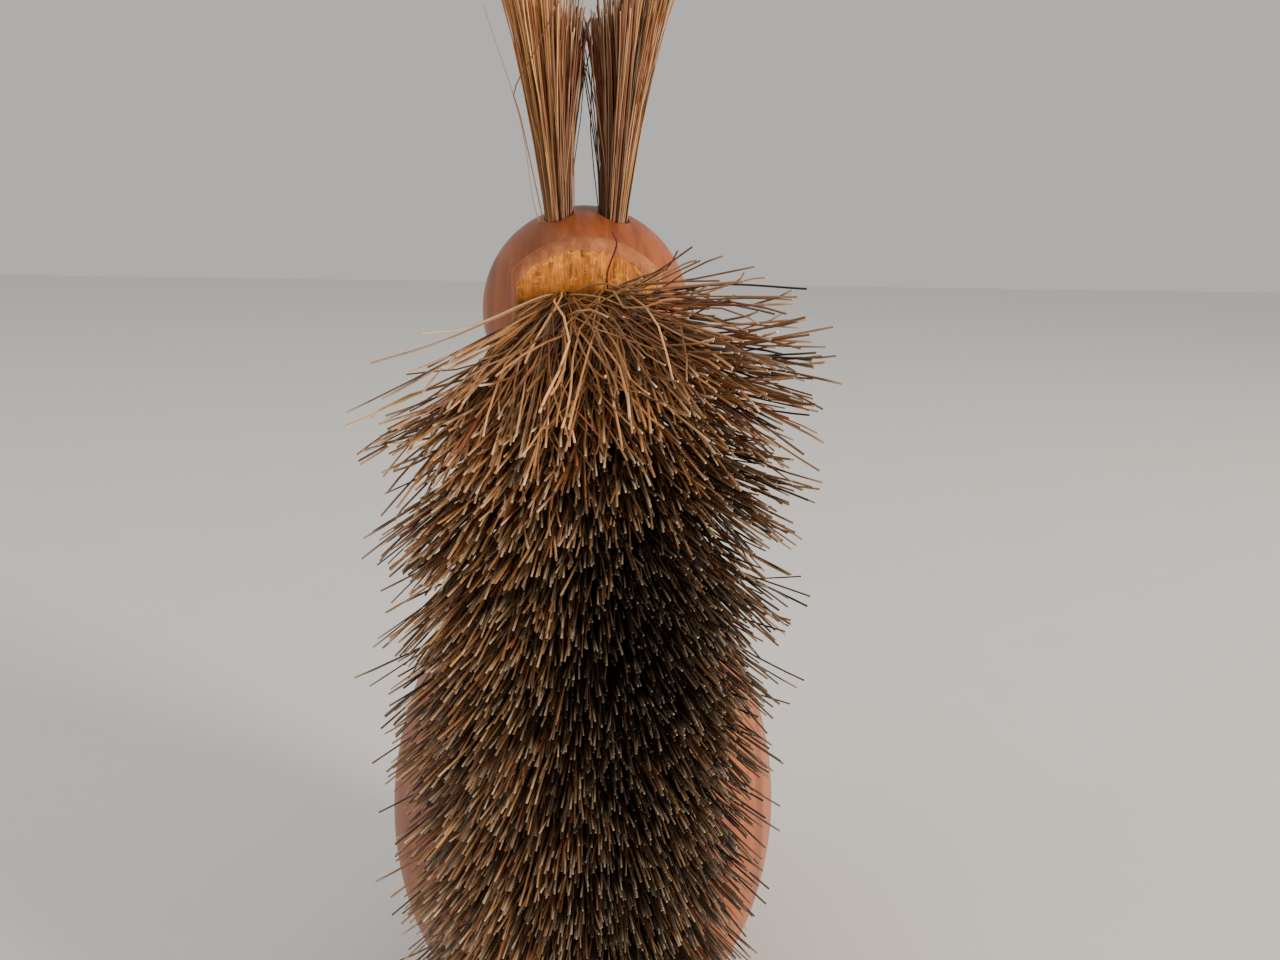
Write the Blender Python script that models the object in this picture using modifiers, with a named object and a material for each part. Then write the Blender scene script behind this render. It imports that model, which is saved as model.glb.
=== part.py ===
"""A wooden animal figure whose upright tail is a brush.

A turned ball head with two bristle ears sits on a turned, pear-shaped body. A narrow board is let
into the body's back and stands up behind the head. Its outer face is drilled in staggered rows,
and each hole holds one tuft of bristles.

Metres, +Z up. The origin is the centre of the body's flat base. The bristles face -Y.
"""

import math

import bmesh
import bpy
from mathutils import Matrix, Vector
from mathutils.geometry import interpolate_bezier

OBJECT_NAME = "figure_brush"
FIT_GAP = 0.0003
MERGE = 0.00001
OVERCUT = 0.01

# Body: an ellipse below its widest ring, and two Bezier curves above it up to the neck.
BODY_RADIUS = 0.036
BODY_WIDEST_Z = 0.041
BODY_LOWER_HALF_HEIGHT = 0.049
BODY_SHOULDER = (0.0195, 0.0885)
BODY_SHOULDER_SLOPE = (-0.0055, 0.0085)
BODY_SHOULDER_PULL = (0.0075, 0.0115)
BODY_SIDE_RISE = 0.019
NECK_RADIUS = 0.0048
NECK_STRAIGHT = 0.003
NECK_FLARE_RISE = 0.01
BASE_EDGE = 0.0012
BODY_STEPS = 48
NECK_RINGS = 8
BODY_SIDE_RINGS = 9
BODY_LOWER_RINGS = 8

# Head: a ball on the same axis, with a small flat where it meets the neck.
HEAD_RADIUS = 0.0175
HEAD_CENTRE_Z = 0.134
HEAD_STEPS = 40
HEAD_RINGS = 18
HEAD_FLAT_RADIUS = NECK_RADIUS + 0.0004
HEAD_FLAT_Z = HEAD_CENTRE_Z - math.sqrt(HEAD_RADIUS**2 - HEAD_FLAT_RADIUS**2)
NECK_TOP_Z = HEAD_FLAT_Z - FIT_GAP

# Dowels.
DOWEL_RADIUS = 0.0025
DOWEL_EDGE = 0.0004
DOWEL_SIDES = 20
NECK_DOWEL_IN_NECK = 0.013
NECK_DOWEL_IN_HEAD = 0.014
TAIL_DOWEL_RADIUS = 0.002
TAIL_DOWEL_IN_BOARD = 0.003
TAIL_DOWEL_IN_BODY = 0.01
TAIL_DOWEL_PLACES = {"tail_dowel_lower": 0.019, "tail_dowel_upper": 0.052}

# Ears: bristle tufts set in blind holes behind the top of the ball.
EAR_SIDE_OFFSET = 0.0045
EAR_BACK_OFFSET = 0.0057
EAR_LEAN = math.radians(4.5)
EAR_HOLE_RADIUS = 0.0025
EAR_HOLE_DEPTH = 0.008
EAR_ROOT_RADIUS = 0.0021
EAR_TIP_RADIUS = 0.0069
EAR_LENGTH = 0.040
EAR_TIP_SLANT = 0.0055
EAR_FLARE_START = 0.002
EAR_SIDES = 16
ANCHOR_SIZE = (0.0034, 0.0006, 0.0016)

# Tail board: its bristle face is an arc that leans back less and less towards the crown.
TAIL_FOOT = (-0.029, 0.0095)
TAIL_LENGTH = 0.1381
TAIL_FOOT_LEAN = math.radians(10.2)
TAIL_CROWN_LEAN = math.radians(4.0)
TAIL_HALF_WIDTH = 0.0094
TAIL_THICKNESS = 0.0085
TAIL_CROWN_RISE = 0.0043
TAIL_EDGE = 0.0008
TAIL_EDGE_SEGMENTS = 2
TAIL_STEPS = 14
TAIL_CROWN_STEPS = 16

# Bristle rows: two tufts and three tufts in turn, from the crown down.
ROW_COUNT = 25
ROW_PITCH = 0.0051
TOP_ROW_BELOW_CROWN = 0.0080
TUFT_PITCH = 0.0057
TUFT_HOLE_RADIUS = 0.0016
TUFT_HOLE_DEPTH = 0.0042
TUFT_HOLE_SIDES = 8
TUFT_ROOT_RADIUS = 0.00115
TUFT_FLARE_START = 0.0006
TUFT_SIDES = 8
TUFT_TIP_OVERLAP = 0.0015
FAN_LENGTH = 0.0262
FAN_SIDE_LENGTH = 0.0135
FAN_HALF_WIDTH = 0.0235
FAN_HALF_DEPTH = (ROW_PITCH - FIT_GAP) / 2
FAN_DEPTH_STEP = 0.0003

DARK_WOOD = (0.24, 0.085, 0.032)
LIGHT_WOOD = (0.42, 0.18, 0.06)
BEECH = (0.62, 0.44, 0.26)
BRISTLE = (0.19, 0.115, 0.065)
EAR_BRISTLE = (0.36, 0.24, 0.14)
STEEL = (0.55, 0.54, 0.52)


def clear_scene():
    for obj in list(bpy.data.objects):
        bpy.data.objects.remove(obj, do_unlink=True)


def new_collection(name):
    collection = bpy.data.collections.new(name)
    bpy.context.scene.collection.children.link(collection)
    return collection


def new_material(name, colour, roughness, metallic=0.0):
    material = bpy.data.materials.new(name)
    material.use_nodes = True
    shader = material.node_tree.nodes["Principled BSDF"]
    shader.inputs["Base Color"].default_value = (*colour, 1.0)
    shader.inputs["Roughness"].default_value = roughness
    shader.inputs["Metallic"].default_value = metallic
    material.diffuse_color = (*colour, 1.0)
    return material


def add_object(name, data, collection):
    obj = bpy.data.objects.new(name, data)
    collection.objects.link(obj)
    return obj


def add_cutter(name, mesh):
    cutter = add_object(name, mesh, helpers)
    cutter.hide_render = True
    cutter.display_type = "WIRE"
    return cutter


def mesh_from(shape, name):
    mesh = bpy.data.meshes.new(name)
    shape.to_mesh(mesh)
    shape.free()
    return mesh


def smooth(mesh):
    mesh.shade_smooth()
    mesh.set_sharp_from_angle(angle=math.radians(35))


def boolean(obj, other, operation="DIFFERENCE"):
    modifier = obj.modifiers.new(f"{operation.lower()} {other.name}", "BOOLEAN")
    modifier.operation = operation
    modifier.object = other


def bevel(obj, width, segments=1):
    modifier = obj.modifiers.new("edges", "BEVEL")
    modifier.width = width
    modifier.segments = segments
    modifier.limit_method = "ANGLE"
    modifier.angle_limit = math.radians(60)


def turned(name, profile, steps):
    """A solid of revolution about Z. The profile holds (radius, z) from the top down."""
    mesh = bpy.data.meshes.new(name)
    points = [(radius, 0.0, z) for radius, z in profile]
    mesh.from_pydata(points, [(i, i + 1) for i in range(len(points) - 1)], [])
    obj = add_object(name, mesh, parts)
    screw = obj.modifiers.new("turning", "SCREW")
    screw.steps = steps
    screw.render_steps = steps
    screw.use_merge_vertices = True
    screw.merge_threshold = MERGE
    return obj


def rod_mesh(name, start, direction, length, radius, sides):
    """A round rod that runs from start along direction."""
    shape = bmesh.new()
    turn = Vector(direction).to_track_quat("Z", "Y").to_matrix().to_4x4()
    place = Matrix.Translation(Vector(start)) @ turn @ Matrix.Translation((0, 0, length / 2))
    bmesh.ops.create_cone(
        shape, cap_ends=True, segments=sides, radius1=radius, radius2=radius, depth=length, matrix=place
    )
    mesh = mesh_from(shape, name)
    smooth(mesh)
    return mesh


def dowel(name, start, direction, length, radius):
    obj = add_object(name, rod_mesh(name, start, direction, length, radius, DOWEL_SIDES), parts)
    bevel(obj, DOWEL_EDGE)
    return obj


def dowel_hole(name, start, direction, length, radius):
    """A cutter for a dowel's hole, larger than the dowel by the fit gap all round."""
    begin = Vector(start) - Vector(direction) * FIT_GAP
    return add_cutter(
        name, rod_mesh(name, begin, direction, length + 2 * FIT_GAP, radius + FIT_GAP, DOWEL_SIDES)
    )


def extruded(name, outline, matrix, half_thickness):
    """A flat outline extruded both ways from its plane, as a welded mesh in world space."""
    curve = bpy.data.curves.new(name, "CURVE")
    curve.dimensions = "2D"
    curve.fill_mode = "BOTH"
    curve.extrude = half_thickness
    spline = curve.splines.new("POLY")
    spline.points.add(len(outline) - 1)
    for point, (across, up) in zip(spline.points, outline):
        point.co = (across, up, 0.0, 1.0)
    spline.use_cyclic_u = True
    drawn = add_object(name + "_outline", curve, helpers)
    drawn.matrix_world = matrix
    bpy.context.view_layer.update()
    evaluated = drawn.evaluated_get(bpy.context.evaluated_depsgraph_get())
    mesh = bpy.data.meshes.new_from_object(evaluated)
    mesh.transform(matrix)
    bpy.data.objects.remove(drawn, do_unlink=True)
    shape = bmesh.new()
    shape.from_mesh(mesh)
    bmesh.ops.remove_doubles(shape, verts=shape.verts, dist=MERGE)
    bmesh.ops.recalc_face_normals(shape, faces=shape.faces)
    shape.to_mesh(mesh)
    shape.free()
    return mesh


def bundle_mesh(name, sides, rings):
    """A bristle bundle lofted through three rings, each (z, centre x, half width, half depth, slant)."""
    shape = bmesh.new()
    bmesh.ops.create_cone(
        shape,
        cap_ends=True,
        segments=sides,
        radius1=1.0,
        radius2=1.0,
        depth=2.0,
        matrix=Matrix.Rotation(math.pi / sides, 4, "Z"),
    )
    everything = shape.verts[:] + shape.edges[:] + shape.faces[:]
    bmesh.ops.bisect_plane(shape, geom=everything, plane_co=(0, 0, 0), plane_no=(0, 0, 1))
    for vert in shape.verts:
        z, centre, half_width, half_depth, slant = rings[round(vert.co.z) + 1]
        vert.co.z = z + slant * vert.co.x
        vert.co.x = centre + half_width * vert.co.x
        vert.co.y = half_depth * vert.co.y
    return mesh_from(shape, name)


# --- Body and head ---


def lower_body_radius(z):
    return BODY_RADIUS * math.sqrt(1 - ((z - BODY_WIDEST_Z) / BODY_LOWER_HALF_HEIGHT) ** 2)


def body_profile():
    """(radius, z) from the neck's top face down the outside to the centre of the base."""
    shoulder = Vector(BODY_SHOULDER)
    neck_foot = Vector((NECK_RADIUS, NECK_TOP_Z - NECK_STRAIGHT))
    widest = Vector((BODY_RADIUS, BODY_WIDEST_Z))
    flare = interpolate_bezier(
        neck_foot,
        neck_foot - Vector((0, NECK_FLARE_RISE)),
        shoulder + Vector(BODY_SHOULDER_SLOPE),
        shoulder,
        NECK_RINGS,
    )
    side = interpolate_bezier(
        shoulder,
        shoulder + Vector((BODY_SHOULDER_PULL[0], -BODY_SHOULDER_PULL[1])),
        widest + Vector((0, BODY_SIDE_RISE)),
        widest,
        BODY_SIDE_RINGS,
    )
    drop = (BODY_WIDEST_Z - BASE_EDGE) / BODY_LOWER_RINGS
    lower_heights = [BODY_WIDEST_Z - drop * ring for ring in range(1, BODY_LOWER_RINGS + 1)]
    base_corner = lower_body_radius(BASE_EDGE)
    half_turned = BASE_EDGE * (1 - math.sqrt(0.5))
    return [
        (0.0, NECK_TOP_Z),
        (NECK_RADIUS, NECK_TOP_Z),
        *(tuple(point) for point in flare[:-1]),
        *(tuple(point) for point in side),
        *((lower_body_radius(z), z) for z in lower_heights),
        (base_corner - half_turned, half_turned),
        (base_corner - BASE_EDGE, 0.0),
        (0.0, 0.0),
    ]


def make_body(wood):
    body = turned("body", body_profile(), BODY_STEPS)
    body.data.materials.append(wood)
    return body


def make_head(wood):
    flat_angle = math.pi - math.asin(HEAD_FLAT_RADIUS / HEAD_RADIUS)
    angles = [flat_angle * i / HEAD_RINGS for i in range(HEAD_RINGS + 1)]
    profile = [(HEAD_RADIUS * math.sin(a), HEAD_CENTRE_Z + HEAD_RADIUS * math.cos(a)) for a in angles]
    profile.append((0.0, HEAD_FLAT_Z))
    head = turned("head", profile, HEAD_STEPS)
    head.data.materials.append(wood)
    return head


def join_head_to_body(head, body, wood):
    start = (0, 0, NECK_TOP_Z - NECK_DOWEL_IN_NECK)
    length = NECK_DOWEL_IN_NECK + NECK_DOWEL_IN_HEAD
    neck_dowel = dowel("neck_dowel", start, (0, 0, 1), length, DOWEL_RADIUS)
    neck_dowel.data.materials.append(wood)
    hole = dowel_hole("neck_dowel_hole", start, (0, 0, 1), length, DOWEL_RADIUS)
    boolean(body, hole)
    boolean(head, hole)


# --- Ears ---


def ear_frame(side):
    """Where an ear leaves the ball, with local Z along the ear."""
    rise = math.sqrt(HEAD_RADIUS**2 - EAR_SIDE_OFFSET**2 - EAR_BACK_OFFSET**2)
    place = Matrix.Translation((side * EAR_SIDE_OFFSET, -EAR_BACK_OFFSET, HEAD_CENTRE_Z + rise))
    return place @ Matrix.Rotation(side * EAR_LEAN, 4, "Y")


def make_ear(name, side, head, bristle, steel):
    frame = ear_frame(side)
    anchor_height = ANCHOR_SIZE[2]
    root_z = FIT_GAP * 2 + anchor_height - EAR_HOLE_DEPTH

    hole = rod_mesh(
        "hole", (0, 0, -EAR_HOLE_DEPTH), (0, 0, 1), EAR_HOLE_DEPTH + OVERCUT, EAR_HOLE_RADIUS, EAR_SIDES
    )
    hole.transform(frame)
    boolean(head, add_cutter(f"ear_hole_{name}", hole))

    rings = (
        (root_z, 0, EAR_ROOT_RADIUS, EAR_ROOT_RADIUS, 0),
        (EAR_FLARE_START, 0, EAR_ROOT_RADIUS, EAR_ROOT_RADIUS, 0),
        (EAR_LENGTH - EAR_TIP_SLANT, 0, EAR_TIP_RADIUS, EAR_TIP_RADIUS, side * EAR_TIP_SLANT),
    )
    tuft_mesh = bundle_mesh(f"ear_tuft_{name}", EAR_SIDES, rings)
    tuft_mesh.transform(frame)
    smooth(tuft_mesh)
    tuft = add_object(f"ear_tuft_{name}", tuft_mesh, parts)
    tuft.data.materials.append(bristle)

    shape = bmesh.new()
    bmesh.ops.create_cube(shape, size=1.0, matrix=Matrix.Diagonal((*ANCHOR_SIZE, 1.0)))
    anchor_mesh = mesh_from(shape, f"ear_anchor_{name}")
    anchor_mesh.transform(frame @ Matrix.Translation((0, 0, FIT_GAP + anchor_height / 2 - EAR_HOLE_DEPTH)))
    anchor = add_object(f"ear_anchor_{name}", anchor_mesh, parts)
    anchor.data.materials.append(steel)


# --- Tail board ---


def tail_point(along, depth=0.0):
    """(y, z) at a distance along the face's arc from the foot, and at a depth under the face."""
    arc_radius = TAIL_LENGTH / (TAIL_FOOT_LEAN - TAIL_CROWN_LEAN)
    lean = TAIL_FOOT_LEAN - along / arc_radius
    y = TAIL_FOOT[0] - arc_radius * (math.cos(lean) - math.cos(TAIL_FOOT_LEAN)) + depth * math.cos(lean)
    z = TAIL_FOOT[1] + arc_radius * (math.sin(TAIL_FOOT_LEAN) - math.sin(lean)) + depth * math.sin(lean)
    return y, z


def tail_frame(along):
    """On the face at a distance from the foot: local X is world X, and local Z points into the wood."""
    y, z = tail_point(along)
    inner_y, inner_z = tail_point(along, 1.0)
    inward = Vector((0, inner_y - y, inner_z - z))
    upward = inward.cross(Vector((1, 0, 0)))
    turn = Matrix((Vector((1, 0, 0)), upward, inward)).transposed().to_4x4()
    return Matrix.Translation((0, y, z)) @ turn


def tail_slab(name, half_width, start, end, outer, inner):
    """A curved slab that follows the tail's arc, between two distances along it and two depths."""
    stops = [start + (end - start) * i / TAIL_STEPS for i in range(TAIL_STEPS + 1)]
    outline = [tail_point(along, outer) for along in stops]
    outline += [tail_point(along, inner) for along in reversed(stops)]
    side_plane = Matrix(((0, 0, 1, 0), (1, 0, 0, 0), (0, 1, 0, 0), (0, 0, 0, 1)))
    return extruded(name, outline, side_plane, half_width)


def crown_outline():
    """The board's front outline: straight sides under a shallow circular arch."""
    top = tail_point(TAIL_LENGTH)[1]
    foot = TAIL_FOOT[1] - OVERCUT
    arch_radius = (TAIL_HALF_WIDTH**2 + TAIL_CROWN_RISE**2) / (2 * TAIL_CROWN_RISE)
    half_arch = math.asin(TAIL_HALF_WIDTH / arch_radius)
    turns = [half_arch * (1 - 2 * i / TAIL_CROWN_STEPS) for i in range(TAIL_CROWN_STEPS + 1)]
    arch = [(arch_radius * math.sin(t), top - arch_radius * (1 - math.cos(t))) for t in turns]
    return [(TAIL_HALF_WIDTH, foot), *arch, (-TAIL_HALF_WIDTH, foot)]


def row_distance(row):
    return TAIL_LENGTH - TOP_ROW_BELOW_CROWN - row * ROW_PITCH


def tuft_offsets(row):
    """Sideways places of a row's holes: two in the crown's row, then three and two in turn."""
    count = 3 if row % 2 else 2
    return [(i - (count - 1) / 2) * TUFT_PITCH for i in range(count)]


def tuft_holes():
    shape = bmesh.new()
    for row in range(ROW_COUNT):
        for offset in tuft_offsets(row):
            place = tail_frame(row_distance(row)) @ Matrix.Translation((offset, 0, 0))
            bmesh.ops.create_cone(
                shape,
                cap_ends=True,
                segments=TUFT_HOLE_SIDES,
                radius1=TUFT_HOLE_RADIUS,
                radius2=TUFT_HOLE_RADIUS,
                depth=2 * TUFT_HOLE_DEPTH,
                matrix=place,
            )
    return add_cutter("tuft_holes", mesh_from(shape, "tuft_holes"))


def make_tail_board(body, wood, dowel_wood):
    slab = tail_slab("tail_board", 2 * TAIL_HALF_WIDTH, 0, TAIL_LENGTH + OVERCUT, 0, TAIL_THICKNESS)
    board = add_object("tail_board", slab, parts)
    board.data.materials.append(wood)
    front_plane = Matrix(((1, 0, 0, 0), (0, 0, -1, 0), (0, 1, 0, 0), (0, 0, 0, 1)))
    outline = extruded("crown_outline", crown_outline(), front_plane, 2 * BODY_RADIUS)
    boolean(board, add_cutter("crown_outline", outline), "INTERSECT")
    bevel(board, TAIL_EDGE, TAIL_EDGE_SEGMENTS)
    boolean(board, tuft_holes())

    groove = tail_slab(
        "tail_groove",
        TAIL_HALF_WIDTH + FIT_GAP,
        -FIT_GAP,
        TAIL_LENGTH,
        -OVERCUT,
        TAIL_THICKNESS + FIT_GAP,
    )
    boolean(body, add_cutter("tail_groove", groove))

    for name, along in TAIL_DOWEL_PLACES.items():
        frame = tail_frame(along)
        start = frame @ Vector((0, 0, TAIL_THICKNESS - TAIL_DOWEL_IN_BOARD))
        inward = frame.to_3x3() @ Vector((0, 0, 1))
        length = TAIL_DOWEL_IN_BOARD + TAIL_DOWEL_IN_BODY
        pin = dowel(name, start, inward, length, TAIL_DOWEL_RADIUS)
        pin.data.materials.append(dowel_wood)
        hole = dowel_hole(f"{name}_hole", start, inward, length, TAIL_DOWEL_RADIUS)
        boolean(board, hole)
        boolean(body, hole)


# --- Bristle rows ---


def fan_length(across):
    """How far a row's fan stands out of the face, at a sideways distance from its middle."""
    return FAN_LENGTH - (FAN_LENGTH - FAN_SIDE_LENGTH) * (across / FAN_HALF_WIDTH) ** 2


def tuft_mesh(name, row, number):
    """One tuft: a straight root in its hole, then its share of the row's fan.

    Shares overlap sideways, and every second one is a little thinner, so they join cleanly.
    """
    offsets = tuft_offsets(row)
    share = 2 * FAN_HALF_WIDTH / len(offsets)
    left = number * share - FAN_HALF_WIDTH
    right = left + share
    if left > -FAN_HALF_WIDTH + MERGE:
        left -= TUFT_TIP_OVERLAP
    if right < FAN_HALF_WIDTH - MERGE:
        right += TUFT_TIP_OVERLAP
    tip_height = (fan_length(left) + fan_length(right)) / 2
    tip_slant = (fan_length(left) - fan_length(right)) / 2
    half_depth = FAN_HALF_DEPTH - FAN_DEPTH_STEP * (number % 2)
    root = (offsets[number], TUFT_ROOT_RADIUS, TUFT_ROOT_RADIUS, 0)
    rings = (
        (-tip_height, (left + right) / 2, (right - left) / 2, half_depth, tip_slant),
        (-TUFT_FLARE_START, *root),
        (TUFT_HOLE_DEPTH - FIT_GAP, *root),
    )
    mesh = bundle_mesh(name, TUFT_SIDES, rings)
    mesh.transform(tail_frame(row_distance(row)))
    smooth(mesh)
    return mesh


def make_tuft_row(row, bristle):
    name = f"tail_tufts_row_{row + 1:02d}"
    tufts = add_object(name, tuft_mesh(name, row, 0), parts)
    tufts.data.materials.append(bristle)
    for number in range(1, len(tuft_offsets(row))):
        joined = f"row_{row + 1:02d}_tuft_{number + 1}"
        boolean(tufts, add_cutter(joined, tuft_mesh(joined, row, number)), "UNION")


clear_scene()
parts = new_collection(OBJECT_NAME)
helpers = new_collection("cutters")
helpers.hide_render = True

dark_wood = new_material("reddish_wood", DARK_WOOD, 0.38)
light_wood = new_material("orange_wood", LIGHT_WOOD, 0.34)
beech = new_material("beech", BEECH, 0.6)
tail_bristle = new_material("brown_bristle", BRISTLE, 0.45)
ear_bristle = new_material("tan_bristle", EAR_BRISTLE, 0.45)
steel = new_material("anchor_steel", STEEL, 0.3, 1.0)

figure_body = make_body(dark_wood)
ball_head = make_head(dark_wood)
join_head_to_body(ball_head, figure_body, beech)
make_ear("left", -1, ball_head, ear_bristle, steel)
make_ear("right", 1, ball_head, ear_bristle, steel)
make_tail_board(figure_body, light_wood, beech)
for tuft_row in range(ROW_COUNT):
    make_tuft_row(tuft_row, tail_bristle)
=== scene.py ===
"""Looks of the wooden figure brush: turned wood, bristle ears and a tail of single bristles."""

import math

import bmesh
import bpy
import numpy as np
from mathutils import Matrix, Vector


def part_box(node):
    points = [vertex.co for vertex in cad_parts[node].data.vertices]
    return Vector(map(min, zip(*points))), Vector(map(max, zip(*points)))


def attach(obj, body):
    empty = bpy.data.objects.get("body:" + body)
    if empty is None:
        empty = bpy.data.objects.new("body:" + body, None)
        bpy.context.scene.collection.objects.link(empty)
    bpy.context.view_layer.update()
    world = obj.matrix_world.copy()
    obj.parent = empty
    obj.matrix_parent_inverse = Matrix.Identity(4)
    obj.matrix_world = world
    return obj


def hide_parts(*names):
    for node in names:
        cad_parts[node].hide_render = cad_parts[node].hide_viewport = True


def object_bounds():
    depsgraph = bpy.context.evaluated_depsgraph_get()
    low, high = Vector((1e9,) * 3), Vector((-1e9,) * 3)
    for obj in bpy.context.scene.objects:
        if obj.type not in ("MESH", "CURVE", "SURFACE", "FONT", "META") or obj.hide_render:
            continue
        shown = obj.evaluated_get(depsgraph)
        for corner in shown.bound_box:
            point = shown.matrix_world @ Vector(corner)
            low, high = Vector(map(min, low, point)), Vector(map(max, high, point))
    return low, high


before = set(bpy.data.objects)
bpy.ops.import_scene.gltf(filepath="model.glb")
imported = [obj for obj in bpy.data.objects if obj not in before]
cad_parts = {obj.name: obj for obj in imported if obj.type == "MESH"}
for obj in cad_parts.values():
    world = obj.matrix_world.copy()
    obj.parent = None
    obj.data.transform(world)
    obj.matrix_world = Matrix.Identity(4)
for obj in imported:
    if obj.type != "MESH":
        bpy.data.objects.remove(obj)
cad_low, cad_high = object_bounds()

MM = 0.001
SEED = 20
EAR_SEED = SEED + 100

# The camera stands close behind the figure, a little above the tail's crown, and looks slightly down.
CAMERA_PLACE = (-0.0004, -0.1667, 0.1465)
CAMERA_PITCH = math.radians(-14.2)
CAMERA_YAW = math.radians(3.475)
CAMERA_ROLL = math.radians(0.97)
CAMERA_LENS = 27.0
CAMERA_SENSOR = 36.0

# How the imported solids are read.
WELD = 0.001 * MM
SAME_RING = 0.003 * MM
FEWEST_IN_RING = 30
TUFT_GAP = 1.8 * MM
TUFT_END_SLICE = 1.2 * MM
TUFT_END_DEPTH = 3.9 * MM
EAR_END_SLICE = 0.5 * MM

# Turned pieces and the board. Holes are wider than what sits in them by HOLE_GAP all round.
HOLE_GAP = 0.3 * MM
OVERCUT = 10 * MM
CURVE_STEPS = 12
BODY_STEPS = 144
BODY_RINGS = 150
NECK_EDGE = 0.4 * MM
BALL_STEPS = 128
BALL_RINGS = 72
EAR_HOLE_RADIUS = 2.5 * MM
EAR_HOLE_BELOW_ROOT = 2.2 * MM
EAR_HOLE_SIDES = 48
BOARD_STEPS = 90
BOARD_OVERHANG = 5 * MM
ARCH_DEPTH = 100 * MM
CROWN_RISE = 4.3 * MM
BELOW_CROWN = 3 * MM
CROWN_STEPS = 48
CROWN_EDGE = 1.7 * MM
SIDE_EDGE_SHARE = 0.5
EDGE_SEGMENTS = 5
LEAST_EDGE_TURN = math.radians(60)
TUFT_HOLE_RADIUS = 1.38 * MM
TUFT_HOLE_DEPTH = 4.2 * MM
TUFT_HOLE_SIDES = 24

# Every bristle is a thin tube whose rings stand closer together towards its tip.
STRAND_SIDES = 5
STRAND_RINGS = 8
TIP_CROWDING = 1.6
STRAY_RINGS = 24
WAVES = (0.5, 1.4)

# Tail bristles. The rows at the crown are loose, which fades to a third in every LOOSE_ROWS rows.
TUFT_STRANDS = 185
STRAND_RADIUS = 0.122 * MM
THICKNESS_SHARES = (0.75, 1.2)
TUFT_ROOT_RADIUS = 1.36 * MM
TUFT_LENGTH = 27.6 * MM
LENGTH_SCATTER = 0.025
LOWER_EXTRA = 1.5 * MM
SHORTER = 0.18
LOOSE_SHORTER = 0.45
ROOT_DEPTH = 2.6 * MM
FLOOR_ROOM = 5.0 * MM
LOOSE_ROWS = 2.6
BEND_OUTWARD = 0.26
BEND_ALONG = 0.14
BOW = 0.5 * MM
LOOSE_BOW = 1.2 * MM
WAVE = 0.25 * MM
LOOSE_WAVE = 1.1 * MM

# Sideways lean of the tail bristles, in degrees. A tuft leans more the further it is from the middle.
FIRST_LEAN = 1.0
LOWER_LEAN = -8.0
LEAN_PER_MM = 4.8
LOWER_LEAN_PER_MM = 0.8
LOOSE_LEAN_PER_MM = 2.6
LEAN_PER_ROOT_MM = 10
TUFT_LEAN_SCATTER = 4
LEAN_SCATTER = 11
LOOSE_LEAN_SCATTER = 9
UNRULY_SHARE = 0.07
UNRULY_LEAN = 24
WIDEST_LEAN = 60.0
LOWER_RIGHT_LESS = 0.18
LEFT_SHARE = 0.91
LOOSE_LEFT_LESS = 0.06
LOWER_LEFT_MORE = 0.24

# How far the tail bristles rise above their holes' direction, in degrees. Most of them droop, and a droop
# grows with the lean, except for the loose ones, where it is (droop without lean, less per degree of lean).
DROOP = 8
LEFT_DROOP = 0.62
RIGHT_DROOP = 0.38
LOOSE_DROOP_LEFT = (33, 0.33)
LOOSE_DROOP_RIGHT = (28, 0.72)
LIFT_PER_ROOT_MM = 5
TUFT_LIFT_SCATTER = 2.5
LIFT_SCATTER = 7.5
UNRULY_LIFT = 12
HIGHEST_LEFT = -9.0
HIGHEST_LEFT_SCATTER = 6
HIGHEST_RIGHT = 14.0

# Ear bristles. Their length and flare change from an ear's inner to its outer side.
EAR_STRANDS = 400
EAR_STRAND_RADIUS = 0.10 * MM
EAR_THICKNESS_SHARES = (0.75, 1.25)
EAR_ROOT_RADIUS = 1.9 * MM
EAR_ROOT_DEPTH = 6 * MM
EAR_MOUTH = 4.5 * MM
EAR_LENGTH = 34.5 * MM
EAR_SLANT = 7.5 * MM
EAR_LENGTH_SCATTER = 2.0 * MM
EAR_FLARE = 5.6 * MM
EAR_FLARE_LENGTH = 40 * MM
EAR_FLARE_POWER = 0.6
INNER_FLARE = 1.15
OUTER_FLARE = 0.95
EAR_BEND_OUTWARD = 0.4
EAR_BEND_START = 3 * MM
EAR_BEND_ALONG = 0.04
EAR_DRIFT = 0.75 * MM
EAR_BOW = 0.35 * MM
EAR_WAVE = 0.45 * MM

# Linear colours of wood and wire.
TURNED_DEEP = (0.11, 0.024, 0.007)
TURNED_WOOD = (0.25, 0.062, 0.016)
TURNED_PALE = (0.38, 0.115, 0.031)
TAIL_DEEP = (0.19, 0.052, 0.008)
TAIL_WOOD = (0.56, 0.175, 0.018)
TAIL_PALE = (0.92, 0.40, 0.060)
EDGE_DEEP = (0.22, 0.068, 0.024)
EDGE_WOOD = (0.37, 0.128, 0.046)
EDGE_PALE = (0.50, 0.20, 0.078)
BEECH = (0.58, 0.40, 0.22)
STEEL = (0.55, 0.54, 0.52)
FLECK_SHADE = (0.05, 0.04, 0.03)

# Linear colours of single bristles.
BLOND = (0.52, 0.31, 0.15)
TAN = (0.34, 0.18, 0.080)
BROWN = (0.16, 0.078, 0.036)
RUSSET = (0.19, 0.060, 0.026)
GREY_BROWN = (0.13, 0.094, 0.064)
DARK = (0.020, 0.012, 0.009)
# A bristle's bare end: its pale cut end together with a painted glint.
CUT_END_AND_GLINT = (0.72, 0.62, 0.50)
RED_HAIR = (0.11, 0.014, 0.007)
PALE_HAIR = (0.42, 0.33, 0.22)
PALETTE = np.array([BLOND, TAN, BROWN, RUSSET, GREY_BROWN, DARK])
HAIR_SHADE = (0.02, 0.012, 0.008)

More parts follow.
